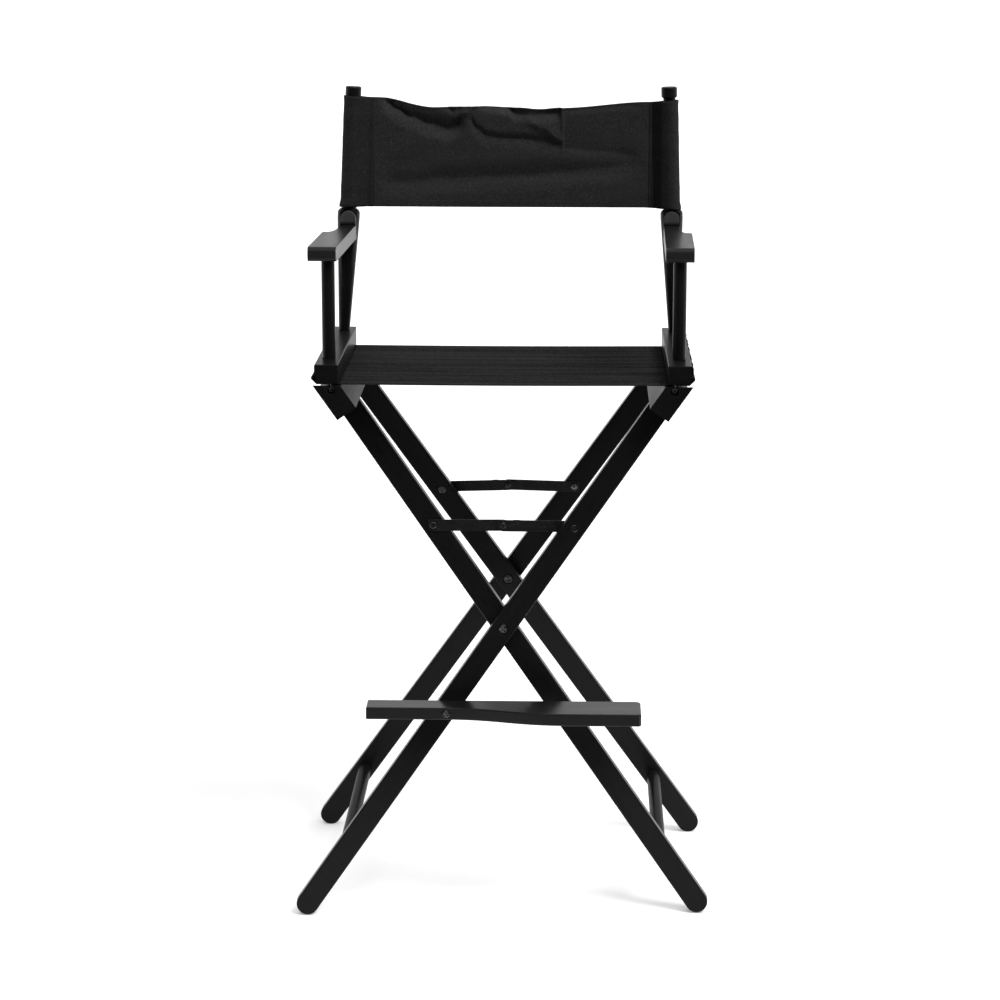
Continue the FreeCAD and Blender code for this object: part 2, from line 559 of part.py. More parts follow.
def front_post(sign):
    x = sign * FRONT_POST_X
    post = rod(Vector(x, FRONT_POST_Y, RAIL_Z1), AXIS_Z, ARM_Z0 - RAIL_Z1, FRONT_POST_R)
    low, high = RAIL_Z1 - POST_TENON + 0.1, ARM_Z0 + 11
    tenon = rod(Vector(x, FRONT_POST_Y, low), AXIS_Z, high - low, POST_TENON_R)
    return post.fuse(tenon).removeSplitter()


def leaning(shape, side):
    """Leans a back post, built upright on the Z axis, inward about its shoulder's place."""
    shape = shape.copy()
    sign = SIDES[side]
    shape.rotate(Vector(0, 0, SHOULDER_Z), AXIS_Y, -sign * POST_LEAN[side])
    shape.translate(Vector(POST_SHOULDER_X[side], REAR_POST_Y, 0))
    return shape


def rear_post(side):
    """One turned piece: tenon, waisted lower part with a milled front flat, round top and knob."""
    foot = RAIL_Z1 - 16
    body = turned([(0, foot), (POST_TENON_R, foot), (POST_TENON_R, RAIL_Z1 - 2),
                   (BASE_R, RAIL_Z1 - 2), (BASE_R, RAIL_Z1 + 2), (SHOULDER_R, SHOULDER_Z - 14),
                   (SHOULDER_R, SHOULDER_Z), (0, SHOULDER_Z)])
    body = eased(body, 7.0, lambda e: e.Closed and e.BoundBox.ZMin > SHOULDER_Z - 0.1)
    flat = block(-40, 40, -60, -POST_R, RAIL_Z1 + 3, SHOULDER_Z + 5)
    body = body.cut(flat)
    neck = POST_TOP_Z - 21
    top = turned([(0, SHOULDER_Z - 8), (POST_R, SHOULDER_Z - 8), (POST_R, neck - 3), (NECK_R, neck + 1),
                  (NECK_R, neck + 4.5), (KNOB_R, neck + 7), (KNOB_R, POST_TOP_Z), (0, POST_TOP_Z)])
    top = eased(top, 2.4, lambda e: e.Closed and e.BoundBox.ZMin > POST_TOP_Z - 0.1)
    return leaning(body.fuse(top).removeSplitter(), side)


def trimmed_to_rail(side):
    """The post's foot: cut level on the rail's top, with its tenon kept."""
    skirt = block(-400, 400, 0, 300, RAIL_Z1 - 30, RAIL_Z1)
    tenon = leaning(rod(Vector(0, 0, RAIL_Z1 - 30), AXIS_Z, 40, POST_TENON_R - 0.01), side)
    return rear_post(side).cut(skirt.cut(tenon))


def arm(side):
    """Arm with a rounded nose, a coved outer corner and a round-topped tab against the back post."""
    neck, run, r = TAB_WIDTH, FLAT_Y - ARM_FRONT_Y, ARM_CORNER_R
    cove = Part.BezierCurve()
    cove.setPoles([Vector(ARM_WIDTH - r - 1, ARM_SIDE, 0), Vector(neck + 4, ARM_SIDE + 1, 0),
                   Vector(neck + 1, ARM_SIDE + COVE * 0.4, 0), Vector(neck, ARM_SIDE + COVE, 0)])
    nip = r * (1 - math.sqrt(0.5))
    edges = [
        Part.makeLine(Vector(0, 0, 0), Vector(ARM_WIDTH, 0, 0)),
        Part.makeLine(Vector(ARM_WIDTH, 0, 0), Vector(ARM_WIDTH, ARM_SIDE - r, 0)),
        Part.Arc(Vector(ARM_WIDTH, ARM_SIDE - r, 0), Vector(ARM_WIDTH - nip, ARM_SIDE - nip, 0),
                 Vector(ARM_WIDTH - r, ARM_SIDE, 0)).toShape(),
        Part.makeLine(Vector(ARM_WIDTH - r, ARM_SIDE, 0), Vector(ARM_WIDTH - r - 1, ARM_SIDE, 0)),
        cove.toShape(),
        Part.makeLine(Vector(neck, ARM_SIDE + COVE, 0), Vector(neck, run + 4, 0)),
        Part.makeLine(Vector(neck, run + 4, 0), Vector(0, run + 4, 0)),
        Part.makeLine(Vector(0, run + 4, 0), Vector(0, 0, 0)),
    ]
    board = plate(edges, ARM_Z0, ARM_Z1)
    board = eased(board, ARM_NOSE_R, lambda e: runs_along(e, AXIS_X) and e.BoundBox.YMax < 0.1)
    tab_r = neck / 2
    tab = block(0, neck, run - TAB_THICK, run + 4, ARM_Z1 - 2, TAB_TOP_Z - tab_r)
    tab = tab.fuse(rod(Vector(tab_r, run - TAB_THICK, TAB_TOP_Z - tab_r), AXIS_Y, TAB_THICK + 4, tab_r))
    return board.fuse(tab).removeSplitter()


def placed_arm(side):
    """Puts an arm over its front post, turned a little in plan, and cuts its back to the post's flat."""
    sign = SIDES[side]
    shape = arm(side)
    tab_x = POST_SHOULDER_X[side] * sign - TAB_WIDTH / 2
    shape.translate(Vector(tab_x, ARM_FRONT_Y, 0))
    if sign < 0:
        shape = flipped(shape, AXIS_X)
    shape.rotate(Vector(POST_SHOULDER_X[side], FLAT_Y, 0), AXIS_Z, ARM_TURN[side])
    shape = shape.cut(block(-400, 400, FLAT_Y - 0.02, 300, 800, 1100))
    socket = rod(Vector(sign * FRONT_POST_X, FRONT_POST_Y, ARM_Z0 - 1), AXIS_Z, 12.2, POST_TENON_R + SNUG)
    return shape.cut(socket)


def arm_screw(side):
    """A screw from the back of the post, through it, into the arm's tab; and the hole it needs."""
    x, z = POST_SHOULDER_X[side], ARM_SCREW_Z
    seat, tip = REAR_POST_Y + ARM_SCREW_SEAT, FLAT_Y - 16
    screw = rod(Vector(x, seat, z), AXIS_Y, 3.0, ARM_SCREW_HEAD_R)
    screw = screw.fuse(rod(Vector(x, tip, z), AXIS_Y, seat - tip + 0.1, ARM_SCREW_R))
    hole = rod(Vector(x, tip - 0.1, z), AXIS_Y, 40, ARM_SCREW_R + SNUG)
    return screw, hole.fuse(rod(Vector(x, seat - FIT, z), AXIS_Y, 12, ARM_SCREW_HEAD_R + 0.1))


def build_sides():
    eye = eye_screw()
    eyes = Part.makeCompound([eye, flipped(eye, AXIS_Y)])
    for side, sign in SIDES.items():
        socket = leaning(rod(Vector(0, 0, RAIL_Z1 - 16.1), AXIS_Z, 30, POST_TENON_R + SNUG), side)
        screw, hole = arm_screw(side)
        keep("seat_rail_" + side, seat_rail(sign).cut(socket))
        keep("arm_post_" + side, front_post(sign))
        keep("back_post_" + side, trimmed_to_rail(side).cut(hole))
        keep("armrest_" + side, placed_arm(side).cut(hole))
        keep("arm_screw_" + side, screw)
        keep("eye_screws_" + side, eyes if sign > 0 else flipped(eyes, AXIS_X))
        dowel = rod(Vector(sign * BEAD_X, SEAT_FRONT + 1, BEAD_Z), AXIS_Y, SEAT_BACK - SEAT_FRONT - 2, BEAD_R)
        keep("seat_dowel_" + side, dowel)


# ---- slings ----
def seat_canvas():
    """Flat sling under both rails, each edge turned up to a tube round its dowel."""
    y0, y1 = SEAT_FRONT, SEAT_BACK
    top, low = SEAT_CLOTH_TOP, SEAT_CLOTH_TOP - CLOTH
    half = RAIL_OUT - 3.4
    sheet = block(-half, half, y0, y1, low, top)
    flap = slab([(half - 0.1, top), (half - 0.1, low), (half + 1.0, low), (RAIL_OUT + 2.6, BEAD_Z - 3.0),
                 (RAIL_OUT + 0.6, BEAD_Z - 2.0), (RAIL_OUT + 0.3, BEAD_Z - 3.2)], y0, y1)
    ring = tube(Vector(BEAD_X, y0, BEAD_Z), AXIS_Y, y1 - y0, BEAD_R + 1.6, BEAD_R + 0.3)
    flap = flap.cut(rod(Vector(BEAD_X, y0, BEAD_Z), AXIS_Y, y1 - y0, BEAD_R + 0.8)).fuse(ring)
    canvas = sheet.fuse([flap, flipped(flap, AXIS_X)]).removeSplitter()
    for x in (-PIN_X, PIN_X):
        for y in (-EYE_Y, EYE_Y):
            canvas = canvas.cut(rod(Vector(x, y, low - 1), AXIS_Z, 4, 2.0))
    return canvas


def post_x(side, z):
    lean = math.tan(math.radians(POST_LEAN[side]))
    return POST_SHOULDER_X[side] - SIDES[side] * (z - SHOULDER_Z) * lean


def back_canvas():
    """Sling with a sleeve round each back post and a top hem that dips in the middle."""
    r_in, r_out = POST_R + SLEEVE_GAP, POST_R + SLEEVE_GAP + CLOTH
    tall = BACK_Z1 - BACK_Z0 + 6
    z0 = BACK_Z0
    pieces = []
    for side, sign in SIDES.items():
        seam = -sign * SLEEVE_SEAM
        wedge = Part.makePolygon([Vector(0, -r_out, z0), Vector(seam, -CLOTH / 2, z0),
                                  Vector(seam, CLOTH / 2, z0), Vector(0, r_out, z0), Vector(0, -r_out, z0)])
        sleeve = Part.Face(wedge).extrude(Vector(0, 0, tall)).fuse(rod(Vector(0, 0, z0), AXIS_Z, tall, r_out))
        hollow = Part.makePolygon([Vector(0, -r_in, z0), Vector(seam * 0.93, 0, z0), Vector(0, r_in, z0),
                                   Vector(0, -r_in, z0)])
        sleeve = sleeve.cut(Part.Face(hollow).extrude(Vector(0, 0, tall)))
        pieces.append(leaning(sleeve, side))
    low_left, low_right = post_x("left", z0) + 20, post_x("right", z0) - 20
    high = z0 + tall
    high_left, high_right = post_x("left", high) + 20, post_x("right", high) - 20
    web = slab([(low_left, z0 - 1), (low_right, z0 - 1), (high_right, high + 1), (high_left, high + 1)],
               -CLOTH / 2, CLOTH / 2)
    web.translate(Vector(0, REAR_POST_Y, 0))
    for side in SIDES:
        web = web.cut(leaning(rod(Vector(0, 0, z0 - 20), AXIS_Z, tall + 40, r_out - 0.2), side))
    canvas = pieces[0].fuse([pieces[1], web])
    for side in SIDES:
        canvas = canvas.cut(leaning(rod(Vector(0, 0, z0 - 20), AXIS_Z, tall + 40, r_in), side))
    canvas = canvas.cut(block(-300, 300, 0, 300, z0 - 30, z0))
    # the top hem: an arc through its two ends and its lowest point
    ends = BACK_Z1 + 4
    arc = Part.Arc(Vector(-250, 0, ends), Vector(0, 0, BACK_Z1 - BACK_DIP), Vector(250, 0, ends)).toShape()
    above = [arc, Part.makeLine(Vector(250, 0, ends), Vector(250, 0, ends + 60)),
             Part.makeLine(Vector(250, 0, ends + 60), Vector(-250, 0, ends + 60)),
             Part.makeLine(Vector(-250, 0, ends + 60), Vector(-250, 0, ends))]
    cutter = Part.Face(Part.Wire(above)).extrude(Vector(0, 300, 0))
    return canvas.cut(cutter).removeSplitter()


def centre_and_save():
    """Moves the chair so that its footprint box is centred on the origin, then writes the files."""
    boxes = [shape.optimalBoundingBox(False, False) for shape in nodes.values()]
    middle_y = (min(b.YMin for b in boxes) + max(b.YMax for b in boxes)) / 2
    shift = Vector(0, -middle_y, 0)
    print("the legs' middle plane is at y =", round(-middle_y, 3))
    os.makedirs("parts", exist_ok=True)
    for name, shape in sorted(nodes.items()):
        moved = shape.copy()
        moved.translate(shift)
        solids = moved.Solids
        print(name, len(solids), round(moved.Volume / 1000, 2), moved.isValid())
        (solids[0] if len(solids) == 1 else Part.makeCompound(solids)).exportStep("parts/" + name + ".step")


build_x_frames()
build_caps()
build_rungs()
build_links()
build_footrest()
build_sides()
keep("seat_canvas", seat_canvas())
keep("back_canvas", back_canvas())
centre_and_save()
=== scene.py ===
import math

import bpy
from mathutils import Euler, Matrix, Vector

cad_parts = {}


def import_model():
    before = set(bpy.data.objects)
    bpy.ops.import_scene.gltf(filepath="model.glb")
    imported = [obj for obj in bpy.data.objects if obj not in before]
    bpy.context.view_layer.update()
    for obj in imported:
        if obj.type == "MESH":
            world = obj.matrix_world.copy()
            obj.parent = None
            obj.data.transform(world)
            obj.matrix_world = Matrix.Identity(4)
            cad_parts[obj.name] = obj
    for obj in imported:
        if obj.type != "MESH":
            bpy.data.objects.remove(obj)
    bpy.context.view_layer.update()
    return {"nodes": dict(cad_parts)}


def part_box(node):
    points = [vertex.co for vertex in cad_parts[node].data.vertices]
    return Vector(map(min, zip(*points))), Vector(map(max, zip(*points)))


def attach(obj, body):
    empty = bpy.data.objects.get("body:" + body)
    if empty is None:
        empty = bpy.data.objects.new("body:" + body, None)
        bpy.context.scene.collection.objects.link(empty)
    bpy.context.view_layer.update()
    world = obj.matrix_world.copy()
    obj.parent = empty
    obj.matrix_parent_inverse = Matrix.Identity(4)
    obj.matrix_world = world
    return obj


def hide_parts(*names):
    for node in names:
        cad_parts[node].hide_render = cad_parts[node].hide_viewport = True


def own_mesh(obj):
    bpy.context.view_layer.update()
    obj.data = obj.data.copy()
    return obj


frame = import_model()

# Metres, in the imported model's frame: X to the right, Y to the back, Z up.
MM = 0.001
rail_low, rail_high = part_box("seat_rail_left")
MID_Y = (rail_low.y + rail_high.y) / 2          # the chair's middle plane, front to back
RAIL_IN = -rail_high.x                          # inner sides of the seat rails
RAIL_OUT = -rail_low.x
RAIL_BOTTOM = rail_low.z

# ---- back posts and their sling ----
SHOULDER_R, POST_R, SHOULDER_Z = 16.2 * MM, 11.0 * MM, 0.955
POST_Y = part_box("back_post_left")[1].y - SHOULDER_R
POST_X = {"left": -0.2308, "right": 0.2358}     # post axes at shoulder height
POST_LEAN = {"left": 2.8, "right": 1.8}         # degrees, inward
SIGN = {"left": -1, "right": 1}
CLOTH = 1.3 * MM
SEAM_Z = 1.05                                   # height at which the seams' distances are measured
SLEEVE_SEAM = {"left": 30.5 * MM, "right": 30 * MM}     # from a post's axis to where its sleeve closes
SLEEVE_REACH = 25.5 * MM                        # from the axis to where the layers part, at any height
BACK_BOTTOM = 0.9575
SLING_TALL, SLEEVE_TALL = 0.145, 0.15           # the sling's height, roughly, at its middle and at a post
HEM = 9 * MM


# ---- materials ----
class Look:
    """A node-based material under construction."""

    def __init__(self, name, roughness, metallic=0.0, specular=0.5):
        self.material = bpy.data.materials.new(name)
        self.material.use_nodes = True
        self.nodes, self.links = self.material.node_tree.nodes, self.material.node_tree.links
        self.shader = self.nodes["Principled BSDF"]
        self.set(Roughness=roughness, Metallic=metallic)
        self.shader.inputs["Specular IOR Level"].default_value = specular
        self.place = self.nodes.new("ShaderNodeTexCoord").outputs["Object"]

    def set(self, **values):
        for socket, value in values.items():
            self.shader.inputs[socket.replace("_", " ")].default_value = value

    def along(self, axis):
        """One object coordinate, in metres."""
        node = self.nodes.new("ShaderNodeSeparateXYZ")
        self.links.new(self.place, node.inputs[0])
        return node.outputs[axis]

    def feed(self, socket, value):
        """Puts a number, a colour or another node's output on a socket."""
        if isinstance(value, bpy.types.NodeSocket):
            self.links.new(value, socket)
        else:
            socket.default_value = value

    def mapped(self, scale, turn=(0, 0, 0)):
        """Object coordinates turned by degrees, then scaled: grain lies along the small scale."""
        turned = self.nodes.new("ShaderNodeMapping")
        turned.inputs["Rotation"].default_value = [math.radians(a) for a in turn]
        self.links.new(self.place, turned.inputs["Vector"])
        scaled = self.nodes.new("ShaderNodeMapping")
        scaled.inputs["Scale"].default_value = scale
        self.links.new(turned.outputs[0], scaled.inputs["Vector"])
        return scaled.outputs[0]

    def noise(self, vector, detail=3.0, rough=0.55, distort=0.0):
        node = self.nodes.new("ShaderNodeTexNoise")
        self.links.new(vector, node.inputs["Vector"])
        settings = {"Scale": 1.0, "Detail": detail, "Roughness": rough, "Distortion": distort}
        for socket, value in settings.items():
            node.inputs[socket].default_value = value
        return node.outputs["Fac"]

    def wave(self, vector, direction, period):
        """Threads side by side along one axis, one to each period."""
        node = self.nodes.new("ShaderNodeTexWave")
        node.bands_direction = direction
        node.inputs["Scale"].default_value = 2 * math.pi / 20 / period
        self.links.new(vector, node.inputs["Vector"])
        return node.outputs["Fac"]

    def specks(self, spacing, size, turn=(0, 0, 0)):
        """Sparse round dots on the plane that the turn brings to XY: lint on the cloth."""
        node = self.nodes.new("ShaderNodeTexVoronoi")
        node.voronoi_dimensions = "2D"
        node.inputs["Scale"].default_value = 1 / spacing
        self.links.new(self.mapped((1, 1, 1), turn), node.inputs["Vector"])
        return self.ranged(node.outputs["Distance"], size / spacing, 0.3 * size / spacing, 0.0, 1.0)

    def ranged(self, value, low, high, to_low, to_high):
        node = self.nodes.new("ShaderNodeMapRange")
        for socket, v in zip(node.inputs[:5], (value, low, high, to_low, to_high)):
            self.feed(socket, v)
        return node.outputs[0]

    def math(self, operation, a, b=0.0):
        node = self.nodes.new("ShaderNodeMath")
        node.operation = operation
        self.feed(node.inputs[0], a)
        self.feed(node.inputs[1], b)
        return node.outputs[0]

    def mixed(self, factor, low, high):
        node = self.nodes.new("ShaderNodeMix")
        node.data_type = "RGBA"
        self.feed(node.inputs[0], factor)
        self.feed(node.inputs[6], low)
        self.feed(node.inputs[7], high)
        return node.outputs[2]

    def edges(self, radius, low=0.012, high=0.12):
        """1 on the sharp edges, 0 on the flats."""
        rounded = self.nodes.new("ShaderNodeBevel")
        rounded.samples = 4
        rounded.inputs["Radius"].default_value = radius
        geometry = self.nodes.new("ShaderNodeNewGeometry")
        dot = self.nodes.new("ShaderNodeVectorMath")
        dot.operation = "DOT_PRODUCT"
        self.links.new(rounded.outputs[0], dot.inputs[0])
        self.links.new(geometry.outputs["Normal"], dot.inputs[1])
        return self.ranged(dot.outputs["Value"], 1 - low, 1 - high, 0.0, 1.0)

    def bumped(self, height, distance, strength=1.0, under=None):
        node = self.nodes.new("ShaderNodeBump")
        node.inputs["Strength"].default_value = strength
        node.inputs["Distance"].default_value = distance
        self.links.new(height, node.inputs["Height"])
        if under is not None:
            self.links.new(under, node.inputs["Normal"])
        return node.outputs[0]

    def rounded(self, radius):
        node = self.nodes.new("ShaderNodeBevel")
        node.samples = 4
        node.inputs["Radius"].default_value = radius
        return node.outputs[0]

    def done(self, **links):
        for socket, value in links.items():
            self.links.new(value, self.shader.inputs[socket.replace("_", " ")])
        return self.material


def grey(level, warm=0.0):
    return (level * (1 + warm), level, level * (1 - warm), 1.0)


def lacquer(name, turn, shine=0.09, wear_and_painted_light=None, nose=None):
    """Satin black lacquer over beech. The grain runs along X after the turn. A height range may be given,
    above which it is painted greyer and streaky: painted light. nose is the Y in front of which it is painted
    greyer: a painted highlight."""
    look = Look(name, roughness=0.3, specular=shine)
    look.set(Coat_Weight=0.03, Coat_Roughness=0.12)
    grain = look.noise(look.mapped((9, 420, 420), turn), detail=4, rough=0.6, distort=0.25)
    figure = look.noise(look.mapped((3.5, 40, 40), turn), detail=3, distort=0.6)
    dust = look.noise(look.mapped((900, 900, 900)), detail=1)
    pores = look.ranged(grain, 0.56, 0.7, 0.0, 1.0)
    black = look.mixed(figure, grey(0.0055), grey(0.0085, 0.03))
    black = look.mixed(pores, black, grey(0.0035))
    # painted light: above this height the arms are painted greyer and streaky, where their tabs face up into
    # the light
    if wear_and_painted_light:
        painted_tab_light_mask = look.ranged(look.along("Z"), wear_and_painted_light[0], wear_and_painted_light[1], 0.0, 1.0)
        painted_tab_light_tone = look.mixed(look.noise(look.mapped((700, 60, 25)), detail=3), grey(0.03), grey(0.085))
        black = look.mixed(painted_tab_light_mask, black, painted_tab_light_tone)
    # painted highlight: in front of this Y the arms' noses are painted greyer
    if nose is not None:
        painted_nose_highlight = look.ranged(look.along("Y"), nose, nose + 3 * MM, 1.0, 0.0)
        black = look.mixed(painted_nose_highlight, black, grey(0.018))
    wear = look.math("MULTIPLY", look.edges(0.9 * MM), look.ranged(figure, 0.45, 0.62, 0.1, 0.55))
    black = look.mixed(wear, black, grey(0.05, 0.08))
    gloss = look.ranged(look.math("ADD", figure, look.math("MULTIPLY", dust, 0.4)), 0.4, 1.0, 0.27, 0.4)
    relief = look.bumped(look.math("SUBTRACT", figure, look.math("MULTIPLY", pores, 0.6)), 0.03 * MM,
                         0.5, look.rounded(0.7 * MM))
    return look.done(Base_Color=black, Roughness=gloss, Normal=relief)


def canvas(name, across, along, streaks, flat, shine, painted_shade=None):
    """Black cotton duck. across and along are the axes that count its warp and weft threads, streaks
    are its uneven tone with painted light and shade for its tension ripples (their scale, darkest and
    lightest grey), and flat turns its plane to XY.
    It is painted darker across a range of X, if one is given: painted shade."""
    look = Look(name, roughness=0.9, specular=shine)
    look.set(Sheen_Weight=0.25 * shine, Sheen_Roughness=0.5)
    plain = look.mapped((1, 1, 1))
    warp, weft = look.wave(plain, across, 0.72 * MM), look.wave(plain, along, 0.8 * MM)
    weave = look.math("MULTIPLY", warp, weft)
    slub = look.noise(look.mapped((120, 700, 700)), detail=2)
    mottle = look.noise(look.mapped((420, 420, 420)), detail=3, rough=0.7)
    scale, dark, light = streaks
    # the cloth's uneven tone, stretched into stripes: partly painted light and shade for its tension ripples
    tone_and_ripple_shade = look.noise(look.mapped(scale), detail=4, rough=0.6)
    tone = look.mixed(look.ranged(tone_and_ripple_shade, 0.4, 0.6, 0.0, 1.0), grey(dark), grey(light))
    tone = look.mixed(look.ranged(mottle, 0.42, 0.7, 0.0, 0.75), tone, grey(2.0 * light))
    tone = look.mixed(look.ranged(slub, 0.5, 0.7, 0.0, 0.2), tone, grey(0.034))
    tone = look.mixed(look.math("MULTIPLY", weave, 0.3), tone, grey(1.6 * light))
    # painted shade: darker across this X range
    if painted_shade:
        begun = look.ranged(look.along("X"), painted_shade[0], painted_shade[0] + 2 * MM, 0.0, 0.62)
        ending = look.ranged(look.along("X"), painted_shade[1] - 5 * MM, painted_shade[1], 1.0, 0.0)
        tone = look.mixed(look.math("MULTIPLY", begun, ending), tone, grey(0.1 * dark))
    tone = look.mixed(look.specks(52 * MM, 0.6 * MM, flat), tone, grey(0.16))
    height = look.math("ADD", look.math("MULTIPLY", weave, 0.5), look.math("MULTIPLY", slub, 0.7))
    return look.done(Base_Color=tone, Normal=look.bumped(height, 0.25 * MM, 0.7))


def steel_look(name, dark, light, rim, metallic=0.9):
    """Blackened steel hardware, with its rims painted lighter: a painted highlight for glints."""
    look = Look(name, roughness=0.3, metallic=metallic)
    patch = look.noise(look.mapped((260, 260, 260)), detail=3)
    fine = look.noise(look.mapped((1800, 1800, 1800)), detail=2)
    tone = look.mixed(patch, grey(dark), grey(light))
    # painted highlight: the rims are painted lighter to stand in for glints
    tone = look.mixed(look.edges(0.9 * MM, 0.01, 0.09), tone, grey(rim))
    gloss = look.ranged(patch, 0.3, 0.7, 0.22, 0.38)
    return look.done(Base_Color=tone, Roughness=gloss,
                     Normal=look.bumped(fine, 0.03 * MM, 0.5, look.rounded(0.6 * MM)))


def link_steel():
    """Flat strip steel, thinly blackened, with worn places."""
    look = Look("blackened_strip_steel", roughness=0.45, metallic=0.3, specular=0.25)
    patch = look.noise(look.mapped((60, 200, 200)), detail=4)
    # places where the blackening is worn off the strip steel
    wear_and_painted_light = look.ranged(look.noise(look.mapped((240, 240, 240)), detail=2), 0.62, 0.72, 0.0, 0.35)
    tone = look.mixed(patch, grey(0.006), grey(0.013))
    tone = look.mixed(look.math("MAXIMUM", wear_and_painted_light, look.edges(0.3 * MM)), tone, grey(0.08))
    return look.done(Base_Color=tone, Roughness=look.ranged(patch, 0.3, 0.7, 0.38, 0.55),
                     Normal=look.bumped(patch, 0.04 * MM, 0.6, look.rounded(0.25 * MM)))


def bare_beech():
    look = Look("bare_beech", roughness=0.6, specular=0.3)
    grain = look.noise(look.mapped((420, 20, 420)), detail=4)
    fleck = look.ranged(look.noise(look.mapped((900, 90, 900)), detail=1), 0.6, 0.7, 0.0, 0.6)
    tone = look.mixed(grain, (0.42, 0.27, 0.15, 1), (0.58, 0.41, 0.25, 1))
    tone = look.mixed(fleck, tone, (0.25, 0.14, 0.07, 1))
    return look.done(Base_Color=tone, Normal=look.bumped(grain, 0.1 * MM, 0.5))


def thread():
    look = Look("black_thread", roughness=0.55, specular=0.35)
    twist = look.noise(look.mapped((2500, 2500, 2500)), detail=1)
    tone = look.mixed(twist, grey(0.016), grey(0.04))
    return look.done(Base_Color=tone, Normal=look.bumped(twist, 0.06 * MM))


LEG_SPREAD = 35.05          # degrees that the open legs lean from upright
TAB_PAINTED_LIGHT = (0.9345, 0.939)  # heights over which the arms are painted greyer towards their tabs: painted light
lacquers = {
    "leg_right": lacquer("lacquer_legs_leaning_right", (0, 90 - LEG_SPREAD, 0)),
    "leg_left": lacquer("lacquer_legs_leaning_left", (0, LEG_SPREAD - 90, 0)),
    "across": lacquer("lacquer_footrest", (0, 0, 0), shine=0.2),
    "depth": lacquer("lacquer_rails", (0, 0, 90), shine=0.03),
    "rung": lacquer("lacquer_rungs", (0, 0, 90), shine=0.01),
    "upright": lacquer("lacquer_posts", (0, 90, 0)),
    # the arms' lacquer has painted light on its tabs and a painted highlight on its noses
    "arm": lacquer("lacquer_arms", (0, 0, 90), wear_and_painted_light=TAB_PAINTED_LIGHT,
                   nose=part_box("armrest_left")[0].y + 4 * MM),
}
steel, strip, beech = steel_look("black_oxide_steel", 0.03, 0.09, 0.5), link_steel(), bare_beech()
# the eye screws' steel is lighter all over: a painted highlight for the glint on their rings
eye_steel = steel_look("eye_steel_painted_glint", 0.08, 0.2, 0.5, metallic=0.3)

# the start of a node's name, and its finish: the first that fits, so the last one takes the rest
FINISHES = (
    ("leg_front_outer", lacquers["leg_right"]), ("leg_rear_outer", lacquers["leg_right"]),
    ("leg_front_inner", lacquers["leg_left"]), ("leg_rear_inner", lacquers["leg_left"]),
    ("arm_post", lacquers["upright"]), ("back_post", lacquers["upright"]),
    ("footrest_board", lacquers["across"]),
    ("cap_rail", lacquers["depth"]), ("seat_rail", lacquers["depth"]), ("armrest", lacquers["arm"]),
    ("rung", lacquers["rung"]), ("seat_dowel", lacquers["depth"]),
    ("cap_dowels", beech), ("eye_screws", eye_steel),
    ("link_front", strip), ("link_rear", strip),
    ("", steel),
)
for node, part in frame["nodes"].items():
    part.data.materials.clear()
    part.data.materials.append(next(look for start, look in FINISHES if node.startswith(start)))


# ---- mesh helpers ----
def new_piece(name, corners, faces, material, smooth=True):
    mesh = bpy.data.meshes.new(name)
    mesh.from_pydata(corners, [], faces)
    mesh.materials.append(material)
    piece = bpy.data.objects.new(name, mesh)
    bpy.context.scene.collection.objects.link(piece)
    if smooth:
        mesh.shade_smooth()
    return piece


def cloth(name, across, along, place, material, thickness=CLOTH):
    """A closed thin sheet. place(u, v) gives the middle of the cloth, u and v from 0 to 1."""
    corners = [place(i / across, j / along) for j in range(along + 1) for i in range(across + 1)]
    row = across + 1
    faces = [(j * row + i, j * row + i + 1, (j + 1) * row + i + 1, (j + 1) * row + i)
             for j in range(along) for i in range(across)]
    piece = new_piece(name, corners, faces, material)
    solid = piece.modifiers.new("thickness", "SOLIDIFY")
    solid.thickness, solid.offset = thickness, 0.0
    made = bpy.data.meshes.new_from_object(piece.evaluated_get(bpy.context.evaluated_depsgraph_get()))
    piece.modifiers.clear()
    piece.data = made
    made.shade_smooth()
    return piece


def stitches(name, rows, material, length=2.3 * MM, pitch=3.4 * MM, radius=0.33 * MM):
    """Rows of separate thread stitches. A row is (path, outward): a function of 0 to 1, and a normal."""
    corners, faces, sides = [], [], 6
    for path, outward in rows:
        steps = 200
        points = [Vector(path(i / steps)) for i in range(steps + 1)]
        lengths = [(b - a).length for a, b in zip(points, points[1:])]
        count = int(sum(lengths) / pitch)
        for k in range(count):
            t = (k + 0.5) / count
            centre = Vector(path(t))
            way = (Vector(path(min(1, t + 0.004))) - Vector(path(max(0, t - 0.004)))).normalized()
            out = Vector(outward).normalized()
            side = way.cross(out).normalized()
            first = len(corners)
            for along, size in ((-0.5, 0.25), (-0.3, 0.9), (0.0, 1.0), (0.3, 0.9), (0.5, 0.25)):
                sink = out * (-(2 * along) ** 2 * radius * 0.9)
                for s in range(sides):
                    a = 2 * math.pi * s / sides
                    spoke = side * math.cos(a) + out * math.sin(a)
                    corners.append(centre + way * (along * length) + sink + spoke * (radius * size))
            for ring in range(4):
                for s in range(sides):
                    a, b = first + ring * sides + s, first + ring * sides + (s + 1) % sides
                    faces.append((a, b, b + sides, a + sides))
            faces.append(tuple(first + s for s in reversed(range(sides))))
            faces.append(tuple(first + 4 * sides + s for s in range(sides)))
    return new_piece(name, corners, faces, material)


def smooth_step(t):
    t = min(1.0, max(0.0, t))
    return t * t * (3 - 2 * t)


def through(points, x):
    """A smooth line through given (x, value) points."""
    if x <= points[0][0]:
        return points[0][1]
    for (x0, v0), (x1, v1) in zip(points, points[1:]):
        if x <= x1:
            return v0 + (v1 - v0) * smooth_step((x - x0) / (x1 - x0))
    return points[-1][1]


